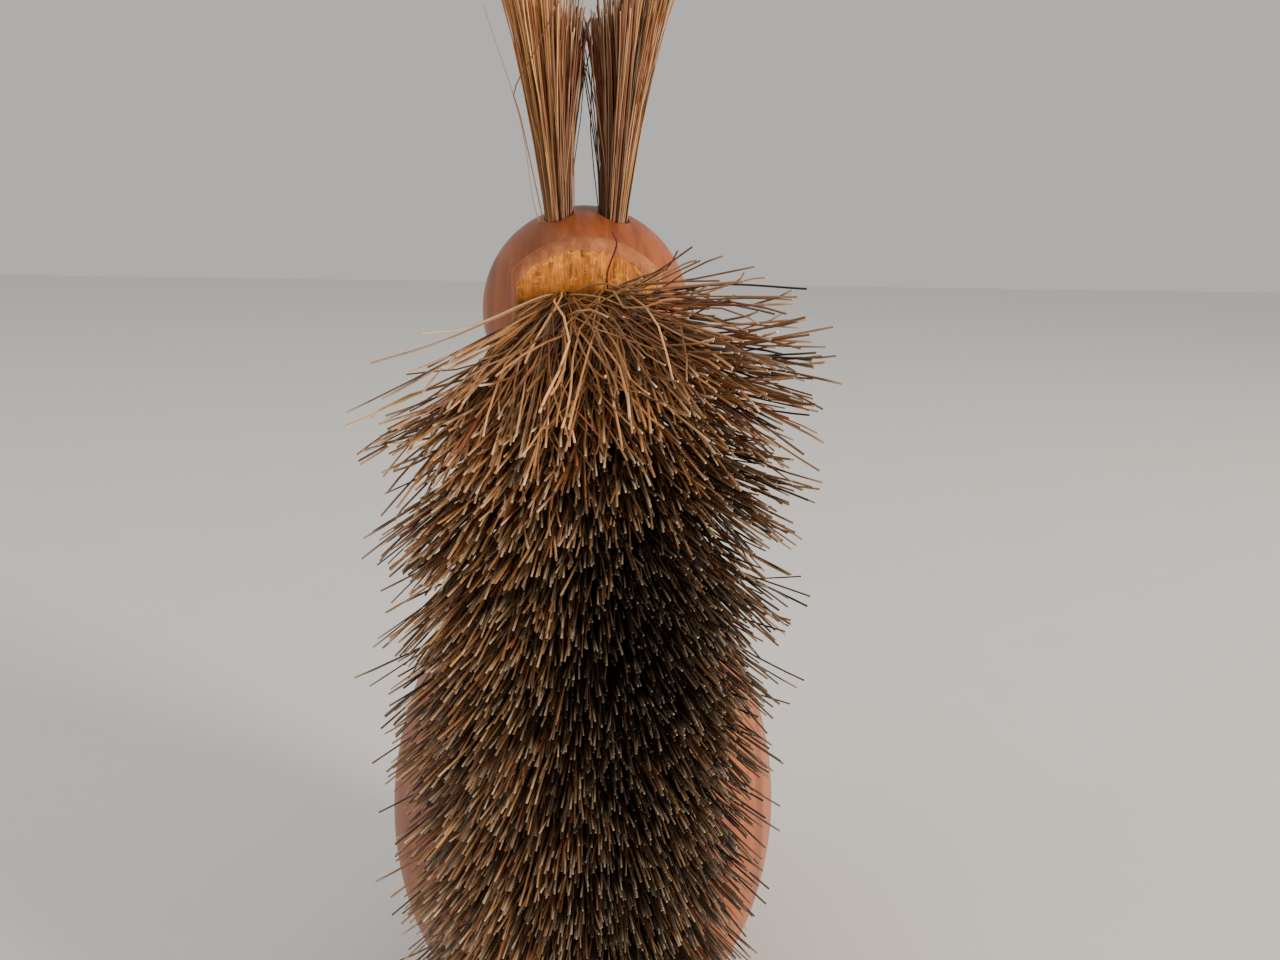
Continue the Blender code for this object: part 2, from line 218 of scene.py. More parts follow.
# How common each palette colour is, and how much more common it gets in parts of the tail and the ears.
TAIL_SHARES = np.array([7, 22, 28, 10, 12, 24])
# The tail's shifts by place paint light and shade: paler at the left and crown, darker in the middle and
# shadow.
MORE_AT_LEFT = np.array([0.5, 0.4, 0.1, 0.2, -0.2, -0.35])
MORE_IN_MIDDLE = np.array([-0.6, -0.5, -0.2, -0.3, 0.6, 1.2])
MORE_IN_OVERHANG_SHADOW = np.array([-0.7, -0.7, -0.3, -0.3, 0.2, 2.0])
MORE_WHEN_LOOSE = np.array([0.8, 1.2, 0.2, -0.2, -0.6, -0.92])
TAIL_TINT = (1.0, 0.88, 0.70)
EAR_SHARES = np.array([24, 44, 18, 12, 2, 2])
MORE_INSIDE_EAR = np.array([-0.8, -0.5, 2.5, 5.0, 3.0, 4.0])
EAR_TINT = (1.08, 0.97, 0.72)

# Brightness of the bristles, as factors. A place's DARK share is taken away, and its LIGHT share is added.
STRAND_TONES = (0.7, 1.3)
CUT_END_LIGHT = 0.15
# The tail's factors below paint light and shade by place: DARK ones paint shade, LIGHT ones paint light.
TAIL_TONE = 0.9
LOOSE_LIGHT = 0.5
LOOSE_LEFT_DARK = 0.22
CROWN_LIGHT = 0.3
LOWER_LEFT_LIGHT = 0.5
RIGHT_DARK = 0.2
MIDDLE_DARK = 0.74
LOWER_MIDDLE_LIGHT = 0.34
SHADED_DARK = 0.28
OVERHANG_SHADOW_DARK = 0.9
# TAIL_ROOT_TONE, LOOSE_ROOT_LIGHT and EAR_ROOT_TONE set the painted shade at the bristles' roots.
TAIL_ROOT_TONE = 0.10
LOOSE_ROOT_LIGHT = 0.75
# Each ear's brightness; the left ear is made lighter than the right as painted light.
EAR_TONES = {"left": 1.936, "right": 1.392}
EAR_INSIDE_START = 0.3
EAR_INSIDE_DARK = 0.32
EAR_ROOT_TONE = 0.62

# Places of the tail's painted light and shade: how far a bristle's tip reaches sideways in millimetres, and
# row numbers.
SIDE_REACH = 18
MIDDLE_REACH = 3.0
MIDDLE_WIDTH = 8.0
MIDDLE_ROWS = 4.0
OVERHANG_SHADOW_REACH = 7
OVERHANG_SHADOW_WIDTH = 7
OVERHANG_SHADOW_ROW = 5.5
OVERHANG_SHADOW_ROWS = 3
SHADED_ROW = 8
SHADED_ROWS = 5
CROWN_WIDTH = 9

# Single bristles that stand apart from the crown's two tufts and from the ears: the colour of each, and
# the points that it passes, in millimetres. The tail's ones start at the holes of those two tufts.
RIGHT_ROOT = (3, -43, 138.5)
LEFT_ROOT = (-2.5, -43, 138.5)
TAIL_STRAY_RADIUS = 0.12 * MM
TAIL_STRAYS = (
    (RED_HAIR, RIGHT_ROOT, (2.5, -46.5, 140.5), (2.5, -47.5, 142.5), (3.5, -48.5, 145.5), (3, -49.5, 147)),
    (RUSSET, RIGHT_ROOT, (3.5, -47.5, 140.5), (8, -51, 142.5), (12, -54, 145.5)),
    (TAN, RIGHT_ROOT, (6.5, -49, 140.5), (13, -54, 144)),
    (RED_HAIR, RIGHT_ROOT, (6.5, -51, 139), (11, -56, 140.5), (13, -58, 141.5)),
    (RUSSET, RIGHT_ROOT, (6.5, -48, 141), (9.5, -50, 143), (10.5, -52, 145)),
    (DARK, RIGHT_ROOT, (7.5, -52, 140), (15, -58, 141.5), (23, -65, 141.5)),
    (TAN, RIGHT_ROOT, (4.5, -48, 141), (9.5, -52, 143)),
    (BLOND, RIGHT_ROOT, (5, -49, 140), (11, -54, 143.5), (12.5, -55, 144)),
    (TAN, RIGHT_ROOT, (6, -49, 140), (6.5, -50, 141.5), (9.5, -52, 143)),
    (BLOND, RIGHT_ROOT, (6, -51, 139), (15.5, -59, 141.5), (17, -61, 143)),
    (TAN, RIGHT_ROOT, (3, -47, 140), (4, -51, 139), (5, -54, 137.5), (3, -57, 135)),
    (TAN, RIGHT_ROOT, (3, -48, 140.5), (8.5, -54, 140.5), (13.5, -60, 140.5)),
    (TAN, RIGHT_ROOT, (3, -48, 140.5), (9, -54, 141.5), (14.5, -60, 142)),
    (BLOND, RIGHT_ROOT, (3.5, -49, 140), (8.5, -57, 138), (11, -61, 138)),
    (TAN, RIGHT_ROOT, (1.5, -46.5, 140), (0.5, -49, 139.5), (-3, -52, 138.5), (-4.5, -53, 137.5)),
    (BLOND, RIGHT_ROOT, (2, -46.5, 140), (1, -50, 139), (-2, -55, 137), (-3, -56, 135.5)),
    (TAN, LEFT_ROOT, (-5.5, -49, 139), (-16, -59, 135), (-23, -63, 133)),
    (BLOND, LEFT_ROOT, (-5, -49, 139.5), (-13, -57, 136.5), (-18, -61, 136)),
    (TAN, LEFT_ROOT, (-1, -46.5, 140), (2, -49, 141), (5.5, -51, 140)),
    (BLOND, LEFT_ROOT, (-2, -46.5, 139.5), (1.5, -51, 139.5), (4.5, -53, 138.5)),
)
EAR_STRAY_RADIUS = 0.10 * MM
EAR_STRAYS = (
    (PALE_HAIR, (-7, -6, 147), (-8.5, -6.5, 152), (-10.5, -7, 164.5), (-15.5, -9, 180)),
    (RUSSET, (-6.5, -7, 147), (-10, -9.5, 163.5), (-11, -10.5, 167.5), (-8, -14.5, 172), (-4, -18.5, 178.5)),
    (TAN, (-4, -7.5, 147), (-3, -8, 158), (-1, -8.5, 172)),
    (TAN, (4, -7.5, 147), (3, -7.5, 157), (1, -8, 169)),
)

# The floor and the sky, and the area lights: name, place from the figure's middle, size, power and colour.
FLOOR_SIZE = 6.0
FLOOR_GAP = 0.1 * MM
FLOOR_COLOURS = ((0.86, 0.85, 0.83), (0.82, 0.81, 0.79))
SKY_COLOUR = (0.96, 0.93, 0.89, 1.0)
SKY_STRENGTH = 0.58
LIGHTS = (
    ("window", (1.25, -0.75, 0.22), 0.4, 37.0, (1.0, 0.88, 0.74)),
    ("left_wall", (-1.2, -0.45, 0.35), 1.0, 4.0, (0.95, 0.97, 1.0)),
    ("ceiling", (-0.5, -0.5, 1.6), 1.4, 5.0, (1.0, 0.94, 0.87)),
)


# --- What the frame says ---


def node_points(name):
    return np.array([v.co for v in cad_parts[name].data.vertices], float)


def bundle_root(points):
    """(middle, outward direction) of the flat end that a bristle bundle has inside its hole."""
    middle = points.mean(0)
    spread = np.linalg.svd(points - middle)[2]
    return middle, spread[2]


def tuft_roots(row_name):
    """(face point, outward direction) of each tuft in a row, from the row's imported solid."""
    points = np.unique(np.round(node_points(row_name), 6), axis=0)
    ends = points[points[:, 1] > points[:, 1].max() - TUFT_END_SLICE]
    ends = ends[np.argsort(ends[:, 0])]
    groups = np.split(ends, np.where(np.diff(ends[:, 0]) > TUFT_GAP)[0] + 1)
    roots = []
    for group in groups:
        middle, outward = bundle_root(group)
        outward = outward * (-1 if outward[1] > 0 else 1)
        roots.append((middle + outward * TUFT_END_DEPTH, outward))
    return roots


def ear_root(name):
    """(bottom end, direction) of an ear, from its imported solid."""
    points = np.unique(np.round(node_points(name), 6), axis=0)
    ends = points[points[:, 2] < points[:, 2].min() + EAR_END_SLICE]
    middle, outward = bundle_root(ends)
    outward = outward * (-1 if outward[2] < 0 else 1)
    return middle, outward


row_names = sorted(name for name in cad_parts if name.startswith("tail_tufts_row_"))
rows = [tuft_roots(name) for name in row_names]
face_points = np.array([point for row in rows for point, _ in row])
face_curve = np.polyfit(face_points[:, 2], face_points[:, 1], 3)
face_slope = np.polyder(face_curve)
board_low, board_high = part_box("tail_board")
arch_radius = (board_high.x**2 + CROWN_RISE**2) / (2 * CROWN_RISE)


def face_point(z, depth=0.0):
    """(y, z) on the board's bristle face at a height, or at a depth under it."""
    slope = np.polyval(face_slope, z)
    size = math.hypot(1.0, slope)
    return float(np.polyval(face_curve, z) + depth / size), float(z - depth * slope / size)


def board_depth(point):
    slope = np.polyval(face_slope, point[2])
    return (point[1] - np.polyval(face_curve, point[2])) / math.hypot(1.0, slope)


board_thickness = max(board_depth(point) for point in node_points("tail_board"))


# --- Making meshes ---


def add_object(name, mesh):
    obj = bpy.data.objects.new(name, mesh)
    bpy.context.scene.collection.objects.link(obj)
    return obj


def smooth(mesh, degrees=35):
    mesh.shade_smooth()
    mesh.set_sharp_from_angle(angle=math.radians(degrees))


def mesh_from(shape, name):
    mesh = bpy.data.meshes.new(name)
    shape.to_mesh(mesh)
    shape.free()
    return mesh


def apply_modifiers(obj):
    bpy.context.view_layer.update()
    mesh = bpy.data.meshes.new_from_object(obj.evaluated_get(bpy.context.evaluated_depsgraph_get()))
    obj.modifiers.clear()
    obj.data = mesh


def boolean(obj, cutter, operation="DIFFERENCE"):
    """Cuts obj and removes the cutter."""
    modifier = obj.modifiers.new("cut", "BOOLEAN")
    modifier.operation = operation
    modifier.object = cutter
    apply_modifiers(obj)
    bpy.data.objects.remove(cutter, do_unlink=True)


def smooth_curve(points, count):
    """Points spaced evenly along a smooth curve through the given ones."""
    points = np.array(points)
    ahead = np.vstack([2 * points[0] - points[1], points, 2 * points[-1] - points[-2]])
    line = []
    for i in range(len(points) - 1):
        a, b, c, d = ahead[i : i + 4]
        for t in np.linspace(0, 1, CURVE_STEPS, endpoint=False):
            square = 2 * a - 5 * b + 4 * c - d
            cube = 3 * b - a - 3 * c + d
            line.append(b + 0.5 * ((c - a) * t + square * t**2 + cube * t**3))
    line = np.array([*line, points[-1]])
    along = np.concatenate([[0], np.cumsum(np.linalg.norm(np.diff(line, axis=0), axis=1))])
    stops = np.linspace(0, along[-1], count)
    return np.stack([np.interp(stops, along, column) for column in line.T], axis=1)


def lathe(name, profile, steps):
    """A turned solid from (radius, z) points that run from the top of the axis to its bottom."""
    shape = bmesh.new()
    chain = [shape.verts.new((radius, 0, z)) for radius, z in profile]
    edges = [shape.edges.new(pair) for pair in zip(chain, chain[1:])]
    bmesh.ops.spin(
        shape, geom=chain + edges, cent=(0, 0, 0), axis=(0, 0, 1), angle=math.tau, steps=steps, use_merge=True
    )
    bmesh.ops.remove_doubles(shape, verts=shape.verts, dist=WELD)
    bmesh.ops.recalc_face_normals(shape, faces=shape.faces)
    return mesh_from(shape, name)


def cylinder(name, start, direction, length, radius, sides):
    shape = bmesh.new()
    turn = Vector(direction).to_track_quat("Z", "Y").to_matrix().to_4x4()
    place = Matrix.Translation(Vector(start)) @ turn @ Matrix.Translation((0, 0, length / 2))
    bmesh.ops.create_cone(
        shape, cap_ends=True, segments=sides, radius1=radius, radius2=radius, depth=length, matrix=place
    )
    return add_object(name, mesh_from(shape, name))


def inflated(node):
    """A cutter of a CAD piece's shape, larger by the fit gap."""
    shape = bmesh.new()
    shape.from_mesh(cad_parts[node].data)
    bmesh.ops.remove_doubles(shape, verts=shape.verts, dist=WELD)
    bmesh.ops.recalc_face_normals(shape, faces=shape.faces)
    shape.normal_update()
    moves = [(vert, vert.normal * HOLE_GAP) for vert in shape.verts]
    for vert, move in moves:
        vert.co += move
    return add_object("cutter", mesh_from(shape, "cutter"))


def prism(name, near, far):
    """A closed solid between two matching rings of points."""
    shape = bmesh.new()
    near_ring = [shape.verts.new(point) for point in near]
    far_ring = [shape.verts.new(point) for point in far]
    shape.faces.new(near_ring)
    shape.faces.new(far_ring[::-1])
    for i in range(len(near)):
        shape.faces.new((near_ring[i - 1], far_ring[i - 1], far_ring[i], near_ring[i]))
    bmesh.ops.recalc_face_normals(shape, faces=shape.faces)
    return add_object(name, mesh_from(shape, name))


def slab_along_face(name, half_width, heights, outer, inner):
    """A curved slab that follows the tail's face through the given heights, between two depths."""
    outline = [face_point(z, outer) for z in heights] + [face_point(z, inner) for z in heights[::-1]]
    return prism(name, [(-half_width, y, z) for y, z in outline], [(half_width, y, z) for y, z in outline])


# --- Materials ---


class Shader:
    """A Principled material with short ways to add texture nodes."""

    def __init__(self, name):
        self.material = bpy.data.materials.new(name)
        self.material.use_nodes = True
        self.tree = self.material.node_tree
        self.principled = self.tree.nodes["Principled BSDF"]

    def node(self, kind, inputs=None, **settings):
        made = self.tree.nodes.new(kind)
        for key, value in settings.items():
            setattr(made, key, value)
        for key, value in (inputs or {}).items():
            self.put(made.inputs[key], value)
        return made

    def put(self, socket, value):
        if isinstance(value, bpy.types.NodeSocket):
            self.tree.links.new(value, socket)
        else:
            socket.default_value = value

    def set(self, key, value):
        self.put(self.principled.inputs[key], value)

    def math(self, operation, first, second=0.0, clamp=False):
        made = self.node("ShaderNodeMath", {0: first, 1: second}, operation=operation, use_clamp=clamp)
        return made.outputs[0]

    def plus(self, first, second):
        return self.math("ADD", first, second)

    def minus(self, first, second):
        return self.math("SUBTRACT", first, second)

    def times(self, first, second):
        return self.math("MULTIPLY", first, second)

    def mapped(self, scale, offset=(0, 0, 0)):
        coords = self.node("ShaderNodeTexCoord").outputs["Object"]
        inputs = {"Vector": coords, "Scale": scale, "Location": offset}
        return self.node("ShaderNodeMapping", inputs).outputs[0]

    def noise(self, scale, offset=(0, 0, 0), detail=3.0, roughness=0.5, distortion=0.0):
        """Noise with the given number of grains per metre along each axis."""
        inputs = {
            "Vector": self.mapped(scale, offset),
            "Scale": 1.0,
            "Detail": detail,
            "Roughness": roughness,
            "Distortion": distortion,
        }
        return self.node("ShaderNodeTexNoise", inputs).outputs["Fac"]

    def length(self, vector):
        return self.node("ShaderNodeVectorMath", {0: vector}, operation="LENGTH").outputs["Value"]

    def position(self, offset=(0, 0, 0)):
        """(x, y, z) of a point of the object, moved by an offset."""
        return self.node("ShaderNodeSeparateXYZ", {0: self.mapped((1, 1, 1), offset)}).outputs

    def ramp(self, value, stops):
        made = self.node("ShaderNodeValToRGB", {"Fac": value})
        elements = made.color_ramp.elements
        while len(elements) < len(stops):
            elements.new(0.5)
        for element, (position, colour) in zip(elements, stops):
            element.position = position
            element.color = (*colour, 1.0) if isinstance(colour, tuple) else (colour, colour, colour, 1.0)
        return made.outputs["Color"]

    def mix(self, factor, first, second, blend="MIX"):
        made = self.node("ShaderNodeMix", data_type="RGBA", blend_type=blend)
        self.put(made.inputs[0], factor)
        for socket, value in ((made.inputs[6], first), (made.inputs[7], second)):
            self.put(socket, (*value, 1.0) if isinstance(value, tuple) and len(value) == 3 else value)
        return made.outputs[2]

    def bump(self, height, strength, distance):
        inputs = {"Height": height, "Strength": strength, "Distance": distance}
        return self.node("ShaderNodeBump", inputs).outputs["Normal"]


def fibres(shader, offset=(0, 0, 0)):
    """(fine fibre noise, broad streak noise, slow patches), all drawn out along Z."""
    fine = shader.noise((2400, 2400, 55), offset, detail=4.0, roughness=0.62)
    broad = shader.noise((520, 90, 12), offset)
    patch = shader.noise((40, 40, 18), offset, detail=2.0)
    return fine, broad, patch


def growth_rings(shader, heart, ring_width, wander):
    """0 to 1 across each growth ring, round a wandering heart line along Z."""
    place = shader.position((-heart[0], -heart[1], 0))
    across = shader.node("ShaderNodeCombineXYZ", {0: place[0], 1: place[1]})
    radius = shader.length(across.outputs[0])
    slow = shader.noise((45, 45, 7), detail=2.0)
    rings = shader.plus(shader.times(radius, 1 / ring_width), shader.times(slow, wander))
    return shader.math("FRACT", rings)


def turned_wood(name):
    """Red-brown hardwood, turned and waxed: quiet streaks along Z, faint growth rings and a soft sheen."""
    shader = Shader(name)
    fine, broad, patch = fibres(shader)
    rings = growth_rings(shader, (0.055, 0.02), 3.2 * MM, 1.6)
    ring = shader.ramp(rings, [(0.0, 0.45), (0.6, 0.65), (0.9, 0.3), (1.0, 0.45)])
    streaks = shader.noise((300, 45, 6), (0.2, 0.6, 0.4), detail=3.5, roughness=0.55, distortion=0.15)
    tone = shader.plus(shader.times(streaks, 1.15), shader.times(ring, 0.3))
    tone = shader.plus(tone, shader.times(fine, 0.35))
    tone = shader.plus(tone, shader.times(broad, 0.45))
    tone = shader.math("SUBTRACT", tone, 0.62, clamp=True)
    colour = shader.ramp(tone, [(0.15, TURNED_DEEP), (0.5, TURNED_WOOD), (0.85, TURNED_PALE)])
    worn = shader.ramp(patch, [(0.4, 0.0), (0.75, 0.4)])
    dents = shader.noise((900, 900, 300), detail=2.0)
    height = shader.plus(fine, shader.times(dents, 0.3))
    shader.set("Base Color", shader.mix(worn, colour, TURNED_DEEP))
    shader.set("Roughness", shader.plus(shader.times(fine, 0.16), 0.34))
    shader.set("Specular IOR Level", 0.38)
    shader.set("Coat Weight", 0.06)
    shader.set("Coat Roughness", 0.35)
    shader.set("Normal", shader.bump(height, 0.16, 0.08 * MM))
    return shader.material


def edge_distance(shader):
    """Metres from the tail board's outline, seen from behind. Its sides count double."""
    across, _, up = shader.position()
    side = shader.minus(board_high.x, shader.math("ABSOLUTE", across))
    from_arch_centre = shader.length(shader.mapped((1, 0, 1), (0, 0, arch_radius - board_high.z)))
    near_crown = shader.math("GREATER_THAN", up, board_high.z - 4 * CROWN_RISE)
    crown = shader.plus(shader.minus(arch_radius, from_arch_centre), shader.minus(1.0, near_crown))
    return shader.math("MINIMUM", shader.math("DIVIDE", side, SIDE_EDGE_SHARE), crown)


def board_colours(shader, fine, broad, patch, torn):
    """(face, edge) colours. The face is golden with torn grain, with painted shade darkening it towards the
    tufts.
    """
    ripples = shader.noise((900, 900, 1250), (0.6, 0.8, 0.2), detail=2.5, distortion=0.9)
    tone = shader.plus(shader.times(broad, 0.8), shader.times(fine, 0.4))
    tone = shader.math("SUBTRACT", tone, 0.12, clamp=True)
    lifted = shader.ramp(torn, [(0.33, 1.0), (0.47, 0.0)])
    tears = shader.ramp(torn, [(0.56, 0.0), (0.62, 1.0)])
    below_top = shader.math("DIVIDE", shader.minus(board_high.z, shader.position()[2]), 10 * MM)
    face = shader.ramp(tone, [(0.2, TAIL_DEEP), (0.5, TAIL_WOOD), (0.8, TAIL_PALE)])
    face = shader.mix(shader.times(lifted, 0.6), face, TAIL_PALE)
    face = shader.mix(shader.times(tears, 0.85), face, TAIL_DEEP)
    face = shader.mix(shader.ramp(ripples, [(0.52, 0.0), (0.64, 0.35)]), face, TAIL_DEEP)
    face = shader.mix(shader.ramp(ripples, [(0.34, 0.55), (0.44, 0.0)]), face, TAIL_PALE)
    face = shader.mix(shader.ramp(patch, [(0.45, 0.0), (0.8, 0.35)]), face, TAIL_DEEP)
    # Painted shade of the bristles, darkening the face further below its top.
    face = shader.mix(shader.ramp(below_top, [(0.35, 0.0), (0.85, 0.75)]), face, TAIL_DEEP)
    scuffs = shader.noise((1400, 1400, 330), (0.2, 0.5, 0.3), detail=4.0, roughness=0.6)
    edge = shader.ramp(tone, [(0.2, EDGE_DEEP), (0.5, EDGE_WOOD), (0.8, EDGE_PALE)])
    edge = shader.mix(shader.ramp(scuffs, [(0.44, 0.0), (0.62, 0.6)]), edge, EDGE_DEEP)
    return face, edge


def board_wood(name):
    """The tail board's wood: torn and golden on its face, sanded, pinker and duller along its edges."""
    shader = Shader(name)
    fine, broad, patch = fibres(shader, (0.7, 0.2, 0.1))
    torn = shader.noise((1900, 1900, 330), (0.3, 0.1, 0.9), detail=3.5, roughness=0.6, distortion=0.3)
    face, edge = board_colours(shader, fine, broad, patch, torn)
    ragged = shader.noise((900, 900, 500), (0.9, 0.4, 0.2), roughness=0.6)
    distance = shader.math("DIVIDE", edge_distance(shader), CROWN_EDGE)
    distance = shader.plus(distance, shader.times(shader.minus(ragged, 0.5), 0.7))
    sanded = shader.ramp(distance, [(0.93, 1.0), (0.98, 0.0)])
    # A pale line along the inside of the rounded edge, painted as a highlight.
    edge_highlight = shader.ramp(distance, [(0.80, 0.0), (0.92, 0.5), (0.97, 0.0)])
    torn_height = shader.times(torn, shader.minus(1.0, shader.times(sanded, 0.7)))
    height = shader.minus(shader.times(fine, 0.4), shader.times(torn_height, 1.5))
    roughness = shader.plus(shader.times(fine, 0.2), 0.42)
    shader.set("Base Color", shader.mix(edge_highlight, shader.mix(sanded, face, edge), EDGE_PALE))
    shader.set("Roughness", shader.plus(roughness, shader.times(sanded, 0.1)))
    shader.set("Specular IOR Level", 0.24)
    shader.set("Normal", shader.bump(height, 0.7, 0.2 * MM))
    return shader.material


def bristle_material(name, roughness, gloss):
    """Horsehair: its colour comes strand by strand from the mesh, with fine streaks and a soft shine."""
    shader = Shader(name)
    strand = shader.node("ShaderNodeAttribute", attribute_name="strand_colour")
    mottle = shader.noise((900, 900, 900))
    scales = shader.noise((3500, 3500, 1400), detail=2.0)
    shader.set("Base Color", shader.mix(shader.times(mottle, 0.45), strand.outputs["Color"], HAIR_SHADE))
    shader.set("Roughness", shader.plus(shader.times(strand.outputs["Alpha"], 0.25), roughness - 0.1))
    shader.set("Specular IOR Level", gloss)
    shader.set("Normal", shader.bump(scales, 0.25, 0.03 * MM))
    return shader.material


def plain_material(name, colour, roughness, metallic=0.0, grain=0.3):
    """A lightly flecked surface for the small pieces carried over from the CAD."""
    shader = Shader(name)
    fleck = shader.noise((1500, 1500, 120))
    shader.set("Base Color", shader.mix(shader.times(fleck, grain), colour, FLECK_SHADE))
    shader.set("Roughness", shader.plus(shader.times(fleck, 0.2), roughness - 0.1))
    shader.set("Metallic", metallic)
    shader.set("Normal", shader.bump(fleck, 0.3, 0.05 * MM))
    return shader.material


# --- Turned wood ---


def turned_profile(node):
    """(radius, z) rings of a turned CAD piece, from the top down."""
    points = np.unique(np.round(node_points(node), 6), axis=0)
    points = points[np.argsort(points[:, 2])]
    rings = []
    for level in np.split(points, np.where(np.diff(points[:, 2]) > SAME_RING)[0] + 1):
        radii = np.hypot(level[:, 0], level[:, 1])
        if np.count_nonzero(radii.max() - radii < SAME_RING) > FEWEST_IN_RING:
            rings.append((float(radii.max()), float(level[:, 2].mean())))
    return rings[::-1]


def make_body(material):
    rings = turned_profile("body")
    top, base = rings[0], rings[-1]
    outline = smooth_curve(rings[1:-2], BODY_RINGS)
    profile = [(0.0, top[1]), (top[0] - NECK_EDGE, top[1]), *outline, rings[-2], base, (0.0, base[1])]
    body = add_object("turned_body", lathe("turned_body", profile, BODY_STEPS))
    half_width = board_high.x + HOLE_GAP
    heights = np.linspace(board_low.z - HOLE_GAP, board_high.z, BOARD_STEPS + 1)
    groove = slab_along_face("groove", half_width, heights, -OVERCUT, board_thickness + HOLE_GAP)
    boolean(body, groove)
    for node in ("neck_dowel", "tail_dowel_lower", "tail_dowel_upper"):
        boolean(body, inflated(node))
    smooth(body.data)
    body.data.materials.append(material)
    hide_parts("body")
    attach(body, "root")


def make_head(material, ears):
    low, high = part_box("head")
    radius = (high.x - low.x) / 2
    centre = high.z - radius
    flat = math.acos((low.z - centre) / radius)
    angles = [flat * i / BALL_RINGS for i in range(BALL_RINGS + 1)]
    profile = [(radius * math.sin(a), centre + radius * math.cos(a)) for a in angles]
    profile[0] = (0.0, centre + radius)
    profile.append((0.0, low.z))
    head = add_object("ball_head", lathe("ball_head", profile, BALL_STEPS))
    boolean(head, inflated("neck_dowel"))
    for root, outward in ears:
        bottom = root - outward * EAR_HOLE_BELOW_ROOT
        boolean(head, cylinder("ear_hole", bottom, outward, 2 * OVERCUT, EAR_HOLE_RADIUS, EAR_HOLE_SIDES))
    smooth(head.data)
    head.data.materials.append(material)
    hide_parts("head")
    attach(head, "root")


def crown_arch():
    """The board's arched top as (x, z) points, from its right corner to its left one."""
    half_arch = math.asin(board_high.x / arch_radius)
    turns = [half_arch * (1 - 2 * i / CROWN_STEPS) for i in range(CROWN_STEPS + 1)]
    return [(arch_radius * math.sin(t), board_high.z - arch_radius * (1 - math.cos(t))) for t in turns]


def weigh_edges(mesh):
    """Marks the board's long edges to be rounded: fully along the crown, and less along the sides."""
    shape = bmesh.new()
    shape.from_mesh(mesh)
    weights = shape.edges.layers.float.new("bevel_weight_edge")
    shoulder = board_high.z - CROWN_RISE
    for edge in shape.edges:
        if len(edge.link_faces) != 2 or edge.calc_face_angle(0.0) < LEAST_EDGE_TURN:
            continue
        middle = (edge.verts[0].co + edge.verts[1].co) / 2
        edge[weights] = 1.0 if middle.z > shoulder else SIDE_EDGE_SHARE
    shape.to_mesh(mesh)
    shape.free()


def tuft_holes():
    holes = bmesh.new()
    for point, outward in (tuft for row in rows for tuft in row):
        turn = Vector(outward).to_track_quat("Z", "Y").to_matrix().to_4x4()
        bmesh.ops.create_cone(
            holes,
            cap_ends=True,
            segments=TUFT_HOLE_SIDES,
            radius1=TUFT_HOLE_RADIUS,
            radius2=TUFT_HOLE_RADIUS,
            depth=2 * TUFT_HOLE_DEPTH,
            matrix=Matrix.Translation(Vector(point)) @ turn,
        )
    return add_object("holes", mesh_from(holes, "holes"))


def make_board(material):
    half_width = board_high.x
    below_crown = board_high.z - CROWN_RISE - BELOW_CROWN
    heights = [*np.linspace(board_low.z, below_crown, BOARD_STEPS), board_high.z + BOARD_OVERHANG]
    slab = slab_along_face("tail_stock", 2 * half_width, heights, 0, board_thickness)
    foot = board_low.z - BOARD_OVERHANG
    outline = [(half_width, foot), *crown_arch(), (-half_width, foot)]
    near = [(x, -ARCH_DEPTH, z) for x, z in outline]
    far = [(x, ARCH_DEPTH, z) for x, z in outline]
    boolean(slab, prism("arch", near, far), "INTERSECT")
    slab.data.materials.append(material)
    weigh_edges(slab.data)
    edges = slab.modifiers.new("edges", "BEVEL")
    edges.width = CROWN_EDGE
    edges.segments = EDGE_SEGMENTS
    edges.limit_method = "WEIGHT"
    edges.use_clamp_overlap = False
    apply_modifiers(slab)
    boolean(slab, tuft_holes())
    for node in ("tail_dowel_lower", "tail_dowel_upper"):
        boolean(slab, inflated(node))
    smooth(slab.data, 30)
    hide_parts("tail_board")
    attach(slab, "root")


# --- Bristles ---


